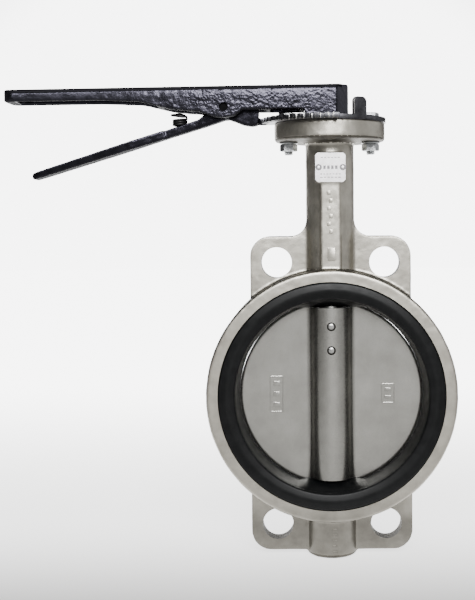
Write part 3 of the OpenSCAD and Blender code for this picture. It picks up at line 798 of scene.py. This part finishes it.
def makeHandle(shape):
    left, right, top = handleLow[0], handleHigh[0], handleHigh[2]
    base, half = handleLow[2] - shape["baseGap"], handleHigh[1]
    gripTop = top - shape["gripDrop"]
    side = [(left, gripTop, 2.2), (left, gripTop - shape["endDepth"], 2.5)]
    side += [(x, gripTop - depth, corner) for x, depth, corner in shape["grip"]]
    side += [(x, base + lift, corner) for x, lift, corner in shape["under"]]
    side += [(right, base + shape["baseGap"], 0.8), (right, top, 1.2)]
    block = prism("handleBlock", rounded(side), -half, half)
    bevel, end, head = shape["bevel"], shape["endCorner"], shape["headCorner"]
    plan = rounded([(left, -half, end), (right - bevel, -half, head), (right, -half + bevel, head),
                    (right, half - bevel, head), (right - bevel, half, head), (left, half, end)], 8)
    handle = combine(block, [prism("plan", plan, 200, 300, "XY")], "INTERSECT")
    # hollow underneath: grip, slot for the lever, head
    wall = shape["wall"]
    inner = half - wall
    slot = (leverHigh[1] - leverLow[1]) / 2 * 0.66
    pockets = [((left + 9, -146), inner, gripTop - wall), ((-141, -53.7), slot, top - wall - 2.5),
               ((-50.7, -25), inner, top - wall - 1.5)]
    combine(handle, [prism("pocket", rounded(boxCorners(a, b, -w, w, 2)), base - 10, roof, "XY")
                     for (a, b), w, roof in pockets])
    melted(handle, shape["grain"], shape["melt"])
    for vertex in handle.data.vertices:
        # the sides lean in towards the top edge, as the pattern's draft and dressing leave them
        x, y, z = vertex.co / mm
        edge = gripTop + (top - gripTop) * min(1, max(0, (x - left) / (right - left)))
        depth = shape["crownDepth"] - (edge - z)
        if depth > 0 and abs(y) > inner:
            lean = depth ** 2 / (2 * shape["crownR"])
            lean += max(0, z + shape["edgeDepth"] - edge) * shape["edgeLean"]
            vertex.co.y -= math.copysign(lean, y) * mm
    low, fade = shape["smoothShare"], shape["smoothFade"]
    roughened(handle, shape["sandSize"], shape["sandDepth"], 11,
              lambda p: low + (1 - low) * min(1, max(0, (p.x - shape["smoothTo"]) / fade)))
    within(handle, "handle")
    pinEnd, bore, hole = pinHigh[1] - shape["pinDepth"], shape["pinBore"], shape["pinHole"]
    stepped = [(0, -40), (bore, -40), (bore, -pinEnd), (hole, -pinEnd), (hole, pinEnd), (bore, pinEnd),
               (bore, 40), (0, 40)]
    pinHole = placed(lathe("pinHole", stepped, "Y", 32), (pivotX, 0, pivotZ))
    flat = shape["square"]
    square = prism("square", rounded(boxCorners(-flat, flat, -flat, flat, 0.5)), base - 5, base + 25, "XY")
    screwHole = placed(cylinder("screwHole", shape["screwR"], 6, 30, "X", 32), (0, 0, base + 14))
    combine(handle, [pinHole, square, screwHole])
    handle.name = "handleCasting"
    return shaded(handle, 50)


def makePivotPin(shape):
    # the pin's ends are upset into heads that sit in the counterbores
    shankR, half = (pinHigh[0] - pinLow[0]) / 2, pinHigh[1] - shape["pinDepth"]
    headR, end = shape["pinBore"] - 0.05, half + shape["pinHead"]
    profile = [(0, -end), (headR, -end), (headR, -half), (shankR, -half), (shankR, half), (headR, half),
               (headR, end), (0, end)]
    return placed(shaded(lathe("pivotPin", profile, "Y", 32)), (pivotX, 0, pivotZ))


handle = makeHandle(handleShape)
settle(handle, rotorBody, "handle_paint", blackEnamel, "handle")
settle(makePivotPin(handleShape), rotorBody, "stem_steel", blackPinSteel, "latch_pivot_pin")
print("handle made", len(handle.data.vertices))

# cheekLow and cheekTop hold (x, z, corner) from the pivot, along the lower and the upper edge
leverShape = {"grain": 0.8, "melt": 3, "slope": 17, "length": 118, "arm": 5.6, "root": 7.6, "tip": 2.2,
              "cheek": 6, "claw": 5.8, "tongue": 1.8, "eyeR": 7, "pinHole": 2.56,
              "sandSize": 5, "sandDepth": 0.12,
              "plan": [(-170, 30), (-134, 20)], "cheekStart": -142, "cheekAlong": 115.5,
              "cheekLow": [(-18.5, -16.4, 8), (-11.5, -14.2, 5), (2.6, -9.4, 4), (9.5, -11.8, 6),
                           (16.5, -14.6, 5), (23.3, -15.6, 5)],
              "cheekTop": [(6, 6.4, 4), (-5, 5.6, 4), (-14, -2.8, 6), (-22, -9.6, 8)]}


def makeLever(shape):
    half, cheekHalf, right = leverHigh[1], shape["cheek"], leverHigh[0]
    tipX, tipZ = leverLow[0] + 1, leverLow[2] + 1
    slope = math.radians(shape["slope"])
    along, across = Vector((math.cos(slope), math.sin(slope))), Vector((-math.sin(slope), math.cos(slope)))

    def at(distance, lift):
        p = Vector((tipX, tipZ)) + along * distance + across * lift
        return (p.x, p.y)

    length, root, tip = shape["length"], shape["root"], shape["tip"]
    arm = prism("arm", rounded([(*at(0, 0), tip), (*at(length, 0), 0), (*at(length, root), 0),
                                (*at(0, shape["arm"]), tip)]), -half, half)
    (wideX, wideR), (narrowX, narrowR) = shape["plan"]
    plan = [(tipX - 2, -half, 9), (wideX, -half, wideR), (narrowX, -cheekHalf, narrowR),
            (-120, -cheekHalf, 0)]
    plan = rounded(plan + [(x, -y, corner) for x, y, corner in reversed(plan)], 8)
    arm = combine(arm, [prism("plan", plan, 100, 300, "XY")], "INTERSECT")
    claw = right - shape["claw"]
    start = shape["cheekStart"]
    side = [(start, at(shape["cheekAlong"], 0)[1], 0)]
    side += [(pivotX + x, pivotZ + z, corner) for x, z, corner in shape["cheekLow"]]
    side += [(claw - 1.5, pivotZ - 14.8, 2), (claw, pivotZ - 1, 1), (claw, pivotZ + 1.5, 1.5)]
    side += [(pivotX + x, pivotZ + z, corner) for x, z, corner in shape["cheekTop"]]
    side += [(start, at(shape["cheekAlong"], root)[1], 0)]
    cheek = prism("cheek", rounded(side), -cheekHalf, cheekHalf)
    eye = placed(cylinder("eye", shape["eyeR"], -cheekHalf, cheekHalf, "Y", 48), (pivotX, 0, pivotZ))
    low, high = pivotZ - 14.6, pivotZ - 8.9
    tongue = prism("tongue", rounded([(claw - 8, low, 0), (right, low, 0.8), (right, high, 0.8),
                                      (claw - 8, high, 0)]), -shape["tongue"], shape["tongue"])
    lever = melted(joined("latchLever", [arm, cheek, eye, tongue]), shape["grain"], shape["melt"])
    within(roughened(lever, shape["sandSize"], shape["sandDepth"], seed=23), "latch_lever")
    hole = placed(cylinder("hole", shape["pinHole"], -40, 40, "Y", 32), (pivotX, 0, pivotZ))
    return shaded(combine(lever, [hole]), 50)


lever = makeLever(leverShape)
settle(lever, leverBody, "handle_paint", smoothEnamel, "latch_lever")
print("latch lever made", len(lever.data.vertices))

springShape = {"wire": 0.95, "radius": 5.6, "closeTurns": 3, "pitch": 1.8, "openRise": 5.4, "drop": 3.6,
               "tail": 4.5, "tailRise": 0.15, "aside": -2.4, "sunk": 1.6, "flare": 1.6, "riseTurn": 0.3,
               "dropTurn": 0.5, "endTurn": 0.78}


def sweptWire(name, path, radius, sides=12):
    # a round wire along a path of points, with its ends closed
    vertices, faces = [], []
    up = Vector((0, 0, 1))
    for i, point in enumerate(path):
        ahead = (path[min(i + 1, len(path) - 1)] - path[max(i - 1, 0)]).normalized()
        across = ahead.cross(up).normalized()
        other = across.cross(ahead)
        for k in range(sides):
            a = 2 * math.pi * k / sides
            vertices.append(tuple(point + across * (radius * math.cos(a)) + other * (radius * math.sin(a))))
    for i in range(len(path) - 1):
        for k in range(sides):
            m = (k + 1) % sides
            faces.append((i * sides + k, (i + 1) * sides + k, (i + 1) * sides + m, i * sides + m))
    faces.append(tuple(range(sides)))
    faces.append(tuple(range(len(path) * sides - 1, (len(path) - 1) * sides - 1, -1)))
    return meshFrom(name, vertices, faces)


def makeSpring(shape):
    # close coils on the lever, then one open turn up into the handle and a loose tail in front
    x = (springLow[0] + springHigh[0]) / 2 + shape["aside"]
    low = springLow[2] + shape["wire"] - shape["sunk"]
    steps, closeTurns = 36, shape["closeTurns"]
    path = []
    for i in range(int(steps * (closeTurns + 1))):
        turn = i / steps
        extra = max(0, turn - closeTurns)
        rise = shape["openRise"] * math.sin(min(1, extra / shape["riseTurn"]) * math.pi / 2)
        rise -= shape["drop"] * min(1, max(0, extra - shape["riseTurn"]) / shape["dropTurn"])
        r = shape["radius"] + shape["flare"] * min(1, extra * 3)
        a = 2 * math.pi * turn
        z = low + shape["pitch"] * min(turn, closeTurns) + rise
        path.append(Vector((x + r * math.cos(a), r * math.sin(a), z)))
        if extra > shape["endTurn"]:
            break
    ahead, pieces = (path[-1] - path[-2]).normalized(), 4
    path += [path[-1] + ahead * shape["tail"] * k / pieces + Vector((0, 0, shape["tailRise"] * k))
             for k in range(1, pieces + 1)]
    return shaded(sweptWire("latchSpring", path, shape["wire"]), 60)


spring = makeSpring(springShape)
settle(spring, None, "spring_steel", springSteel, "latch_spring")
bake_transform(spring)
print("spring made")


# notch plate

plateShape = {"thick": 4, "inner": 48, "lead": 7, "depth": 5, "pitch": 7.5, "travel": 90, "notch": 4.2,
              "notchCorner": 0.8, "stops": (-59, 149), "stopWidth": 12.6, "stopThick": 3.2, 
              "stopReach": 12, "bendOuter": 4.2, "bendInner": 1.2, "bevel": 0.35, "stemGap": 0.3}


def makeStop(shape, low):
    # an ear of the plate bent straight up, which the handle runs against
    outer, thick, width = shape["inner"] - 0.4, shape["stopThick"], shape["stopWidth"]
    root, high, corner = outer - shape["stopReach"], plateHigh[2], shape["bendOuter"]
    inner, top = outer - thick, low + shape["thick"]
    bend = rounded([(root, low, 0), (outer, low, corner), (outer, high, 0), (inner, high, 0),
                    (inner, top, shape["bendInner"]), (root, top, 0)], 6)
    ear = prism("ear", bend, -width / 2, width / 2, "XZ")
    front = rounded([(-width / 2, low - 1, 0), (width / 2, low - 1, 0), (width / 2, high, corner),
                     (-width / 2, high, corner)], 8)
    front = prism("front", front, 0, 100, "YZ")
    return bevelled(combine(ear, [front], "INTERSECT"), shape["bevel"])


def makePlate(shape):
    low, top = plateLow[2], plateLow[2] + shape["thick"]
    under, over, lead = low - 2, top + 2, shape["lead"]
    outline = arc(0, 0, shape["inner"], -90 + lead, 180 - lead, 120)
    outline += arc(0, 0, toothR, 180 - lead, 270 + lead, 90)
    plate = prism("notchPlate", outline, low, top, "XY")
    cutters = []
    inner, outer, half, corner = toothR - shape["depth"], toothR + 3, shape["notch"] / 2, shape["notchCorner"]
    for i in range(round(shape["travel"] / shape["pitch"]) + 1):
        tooth = prism("notch", rounded([(inner, -half, corner), (outer, -half, 0), (outer, half, 0),
                                        (inner, half, corner)], 4), under, over, "XY")
        cutters.append(placed(tooth, turn=180 + i * shape["pitch"]))
    cutters.append(cylinder("hole", stemR + shape["stemGap"], under, over, "Z", 72))
    for turn in range(0, 360, 90):
        hole = cylinder("hole", topHoleR, under, over, "Z", 48)
        cutters.append(placed(placed(hole, (boltX, 0, 0)), turn=turn))
    combine(plate, cutters)
    bevelled(plate, shape["bevel"])
    stops = [placed(makeStop(shape, low), turn=turn) for turn in shape["stops"]]
    return shaded(joined("notchPlateSteel", [plate, *stops]), 30)


plate = makePlate(plateShape)
settle(plate, rootBody, "plate_steel", plateSteel, "notch_plate")
# painted highlight: the narrow bevels get the bright steel
highlightWidth, highlightArea = 0.36 * mm, 3 * mm * mm
plate.data.materials.append(paintedHighlightSteel)
points = plate.data.vertices
for face in plate.data.polygons:
    shortest = min((points[a].co - points[b].co).length for a, b in face.edge_keys)
    if shortest < highlightWidth and face.area < highlightArea:
        face.material_index = 1
print("notch plate made")


# fasteners

def hexBlock(name, acrossFlats, low, high, chamferLow, chamferHigh, hole=0):
    # a hexagon whose corners are turned off where it was chamfered
    around = 72
    inner = acrossFlats / 2 * 0.95
    vertices, faces = [], []
    rows = []
    for k in range(around):
        a = 2 * math.pi * k / around
        fold = (a + math.pi / 6) % (math.pi / 3) - math.pi / 6
        edge = acrossFlats / 2 / math.cos(fold)
        cut = (edge - inner) * math.tan(math.radians(30))
        rows.append([(hole, low), (inner, low), (edge, low + (cut if chamferLow else 0)),
                     (edge, high - (cut if chamferHigh else 0)), (inner, high), (hole, high)])
    count = len(rows[0])
    for k, row in enumerate(rows):
        a = 2 * math.pi * k / around + math.pi / 6
        vertices += [(r * math.cos(a), r * math.sin(a), z) for r, z in row]
    for k in range(around):
        m = (k + 1) % around
        for j in range(count if hole else count - 1):
            n = (j + 1) % count
            faces.append((k * count + j, m * count + j, m * count + n, k * count + n))
    return meshFrom(name, vertices, faces)


def threadedBar(name, radius, low, high, pitch, plain):
    # a screw thread cut as a helix below the plain shank, with a short taper at its end
    around, rowsPerTurn = 36, 8
    depth, taperLength, taperDepth = 0.6 * pitch, 1.0, 0.8
    rows = int((high - low) / pitch * rowsPerTurn)
    vertices, faces = [(0, 0, low)], []
    for i in range(rows + 1):
        z = low + (high - low) * i / rows
        for k in range(around):
            a = 2 * math.pi * k / around
            wave = abs(((z / pitch - k / around) % 1) * 2 - 1)
            fade = min(1, max(0, (plain - z) / pitch)) if z < plain else 0
            taper = max(0, 1 - (z - low) / taperLength) * taperDepth
            r = radius - depth * wave * fade - taper
            vertices.append((r * math.cos(a), r * math.sin(a), z))
    for k in range(around):
        m = (k + 1) % around
        faces.append((0, 1 + m, 1 + k))
        for i in range(rows):
            a, b = 1 + i * around, 1 + (i + 1) * around
            faces.append((a + k, a + m, b + m, b + k))
    faces.append(tuple(1 + rows * around + k for k in range(around)))
    return meshFrom(name, vertices, faces)


boltShape = {"across": 13, "shank": 4, "nutBore": 4.05, "pitch": 1.25, "washerBore": 4.2, "washerR": 8}
headLow = plateLow[2] + plateShape["thick"]
for side, label in ((-1, "left"), (1, "right")):
    across, spot = boltShape["across"], (side * boltX, 0, 0)
    head = hexBlock("head", across, headLow, boltHigh[2], False, True)
    shank = threadedBar("shank", boltShape["shank"], boltLow[2], headLow + 1, boltShape["pitch"],
                        bodyShape["neckTop"] + 2)
    bolt = placed(shaded(joined(label + "FlangeBolt", [head, shank]), 30), spot)
    settle(bolt, rootBody, "bolt_steel", zincSteel, "flange_bolts")
    nut = hexBlock(label + "FlangeNut", across, nutLow[2], nutHigh[2], True, True, boltShape["nutBore"])
    settle(placed(shaded(nut, 30), spot), rootBody, "bolt_steel", zincSteel, "flange_nuts")
    bore, rim, low, high = boltShape["washerBore"], boltShape["washerR"], washerLow[2], washerHigh[2]
    profile = rounded([(bore, low, 0.1), (rim, low, 0.5), (rim, high, 0.4), (bore, high, 0.1)], 3)
    washer = lathe(label + "FlangeWasher", profile, "Z", 64, loop=True)
    settle(placed(shaded(washer), spot), rootBody, "bolt_steel", zincSteel, "flange_washers")
print("fasteners made")


# nameplate

# rows hold (height from the middle, dash height, dashes, half length) of the blank lines
nameShape = {"cut": 2, "corner": 0.6, "hole": 1.4, "tornIn": 5, "tornOut": 3, "tornHalf": 1.6,
             "tornMouth": 1.9, "rivetR": 2, "rivetShank": 1.2, "rivetDome": 0.6, "rivetRing": (1.6, 2.7),
             "inkOut": 0.02, "inkIn": 0.1,
             "rows": ((0, 3, 4, 6.5), (8.2, 0.7, 6, 8.5), (-5.6, 0.7, 7, 9), (-8.4, 0.7, 6, 9)), "dash": 0.32}
rivetSpots = (rivetLow[0] + nameShape["rivetR"], rivetHigh[0] - nameShape["rivetR"])


def makeNameplate(shape):
    # the sheet with its corners cut off, one round hole and one that is torn open to the edge
    left, right, low, high = nameLow[0], nameHigh[0], nameLow[2], nameHigh[2]
    front, back, cut = nameLow[1] - 2, nameHigh[1] + 2, shape["cut"]
    corners = [(left, low + cut), (left + cut, low), (right - cut, low), (right, low + cut),
               (right, high - cut), (right - cut, high), (left + cut, high), (left, high - cut)]
    outline = rounded([(x, z, shape["corner"]) for x, z in corners], 3)
    sheet = prism("nameplateSheet", outline, nameLow[1], nameHigh[1])
    ring = placed(cylinder("hole", shape["hole"], front, back, "Y", 32), (rivetSpots[0], 0, nameMiddle))
    inner, outer = right - shape["tornIn"], right + shape["tornOut"]
    half, mouth = shape["tornHalf"], shape["tornMouth"]
    torn = rounded([(inner, nameMiddle - half, 1.5), (outer, nameMiddle - mouth, 0),
                    (outer, nameMiddle + mouth, 0), (inner, nameMiddle + half, 1.5)], 6)
    torn = prism("torn", torn, front, back)
    return shaded(combine(sheet, [ring, torn]), 12)


def makeNameLines(shape):
    # etched and blackened dashes in rows, blank of any wording, and a dark ring round each rivet
    front, back = nameLow[1] - shape["inkOut"], nameLow[1] + shape["inkIn"]
    lines = []
    for level, tall, count, reach in shape["rows"]:
        low, high = nameMiddle + level - tall / 2, nameMiddle + level + tall / 2
        for i in range(count):
            x = -reach + 2 * reach * (i + 0.5) / count
            wide = 2 * reach / count * shape["dash"]
            corners = [(x - wide, low), (x + wide, low), (x + wide, high), (x - wide, high)]
            lines.append(prism("line", corners, front, back))
    for x in rivetSpots:
        lines.append(placed(tube("rivetRing", *shape["rivetRing"], front, back, "Y", 40), (x, 0, nameMiddle)))
    return joined("nameplateLines", lines)


def makeRivets(shape):
    shank, seatY, end = shape["rivetShank"], nameLow[1] - 0.03, rivetHigh[1]
    profile = rounded([(0, rivetLow[1], 0), (shank, rivetLow[1] + 0.1, shape["rivetDome"]),
                       (shape["rivetR"], seatY, 0.3), (shank, seatY, 0), (shank, end, 0), (0, end, 0)],
                      5, closed=False)
    rivets = [placed(lathe("rivet", profile, "Y", 32), (x, 0, nameMiddle)) for x in rivetSpots]
    return shaded(joined("nameplateRivetHeads", rivets))


settle(makeNameplate(nameShape), rootBody, "name_aluminium", plateAluminium, "nameplate")
settle(makeNameLines(nameShape), rootBody, "name_aluminium", etchedAluminium)
settle(makeRivets(nameShape), rootBody, "name_aluminium", plateAluminium, "nameplate_rivets")
print("nameplate made")


# CAD pieces that stay as they are, mostly inside

insideFinish = {"stem": stemSteel, "lower_stem_bush": bronze, "middle_stem_bush": bronze,
                "upper_stem_bush": bronze, "stem_o_rings": sealRubber, "thrust_pad": ptfe,
                "retaining_washer": stemSteel, "stem_snap_ring": springSteel, "handle_set_screw": springSteel}
for name, material in insideFinish.items():
    piece = frame["nodes"][name]
    piece.data.materials.clear()
    piece.data.materials.append(material)
print("inner pieces finished")


# floor and light

# a studio all round: a large soft front light, a softer one overhead, dim sides and a white wall behind
stageLook = {"floor": "cfcecc", "rough": 0.9, "gap": 0.5, "size": 6000, "ambient": 0.04,
             "nearGlow": 2.6, "nearFrom": -210, "nearTo": 110, "farGlow": 4.0, "farFrom": 40, "farTo": 1000,
             "glowSides": (0.62, 0.27), "glowBack": 900, "glowAside": 80}
studioGlows = [{"aim": (0.35, -1, 0.18), "edge": 50, "full": 5, "strength": 0.6},
               {"aim": (-0.1, -0.2, 1), "edge": 36, "full": 10, "strength": 0.45},
               {"aim": (-1, 0.2, 0.1), "edge": 26, "full": 6, "strength": 0.12},
               {"aim": (1, 0.1, 0.05), "edge": 48, "full": 10, "strength": 0.85},
               {"aim": (-0.06, 1, -0.05), "edge": 25, "full": 17, "strength": 6.5}]


def makeFloor(look):
    size, z = look["size"], cadLow[2] / mm - look["gap"]
    corners = [(-size, -size, z), (size, -size, z), (size, size, z), (-size, size, z)]
    floor = meshFrom("paleFloor", corners, [(0, 1, 2, 3)])
    material, tree, shader, place = startMaterial("paleFloor")
    shader.inputs["Base Color"].default_value = linear(look["floor"])
    shader.inputs["Roughness"].default_value = look["rough"]
    shader.inputs["Emission Color"].default_value = (1, 1, 1, 1)
    split = addNode(tree, "ShaderNodeSeparateXYZ", links={"Vector": place})
    across, deep = split.outputs["X"], split.outputs["Y"]
    glows = []
    for part in ("near", "far"):
        settings = {"interpolation_type": "SMOOTHSTEP", "From Min": look[part + "From"] * mm,
                    "From Max": look[part + "To"] * mm, "To Max": look[part + "Glow"]}
        glows.append(addNode(tree, "ShaderNodeMapRange", settings, {"Value": deep}).outputs["Result"])
    # painted light: the floor glows by emission, dark in front; the glowing part widens away from the front, as
    # the white wall behind it does
    depth = addNode(tree, "ShaderNodeMath", {"operation": "ADD", 1: look["glowBack"] * mm}, {0: deep})
    aside = addNode(tree, "ShaderNodeMath", {"operation": "ADD", 1: look["glowAside"] * mm}, {0: across})
    aside = addNode(tree, "ShaderNodeMath", {"operation": "ABSOLUTE"}, {0: aside.outputs["Value"]})
    ratio = addNode(tree, "ShaderNodeMath", {"operation": "DIVIDE"},
                    {0: aside.outputs["Value"], 1: depth.outputs["Value"]})
    outside, inside = look["glowSides"]
    lit = addNode(tree, "ShaderNodeMapRange", {"interpolation_type": "SMOOTHSTEP", "From Min": outside,
                  "From Max": inside}, {"Value": ratio.outputs["Value"]})
    both = addNode(tree, "ShaderNodeMath", {"operation": "ADD"}, {0: glows[0], 1: glows[1]})
    glow = addNode(tree, "ShaderNodeMath", {"operation": "MULTIPLY"},
                   {0: both.outputs["Value"], 1: lit.outputs["Result"]})
    tree.links.new(glow.outputs["Value"], shader.inputs["Emission Strength"])
    floor.data.materials.append(material)


def makeStudio(ambient, glows):
    world = bpy.data.worlds.new("studio")
    scene.world = world
    world.use_nodes = True
    tree = world.node_tree
    direction = addNode(tree, "ShaderNodeTexCoord").outputs["Generated"]
    total = addNode(tree, "ShaderNodeValue").outputs[0]
    total.default_value = ambient
    for glow in glows:
        settings = {"operation": "DOT_PRODUCT", 1: tuple(Vector(glow["aim"]).normalized())}
        facing = addNode(tree, "ShaderNodeVectorMath", settings, {0: direction}).outputs["Value"]
        edge, full = (math.cos(math.radians(glow[k])) for k in ("edge", "full"))
        settings = {"interpolation_type": "SMOOTHSTEP", "From Min": edge, "From Max": full,
                    "To Max": glow["strength"]}
        part = addNode(tree, "ShaderNodeMapRange", settings, {"Value": facing}).outputs["Result"]
        total = addNode(tree, "ShaderNodeMath", {"operation": "ADD"}, {0: total, 1: part}).outputs["Value"]
    tree.links.new(total, tree.nodes["Background"].inputs["Strength"])
    tree.nodes["Background"].inputs["Color"].default_value = (1, 1, 1, 1)


makeFloor(stageLook)
makeStudio(stageLook["ambient"], studioGlows)

softLights = {"keyLight": {"place": (130, -1450, 795), "aim": (130, 0, 370), "size": (820, 470), "power": 33},
              "gripLight": {"place": (-660, -1450, 890), "aim": (-250, 0, 280), "size": (640, 90),
                            "power": 5}}
for name, look in softLights.items():
    data = bpy.data.lights.new(name, "AREA")
    data.shape = "RECTANGLE"
    data.size, data.size_y = (v * mm for v in look["size"])
    data.energy = look["power"]
    light = bpy.data.objects.new(name, data)
    light.location = Vector(look["place"]) * mm
    light.rotation_euler = (Vector(look["aim"]) - Vector(look["place"])).to_track_quat("-Z", "Y").to_euler()
    scene.collection.objects.link(light)
print("stage lit")
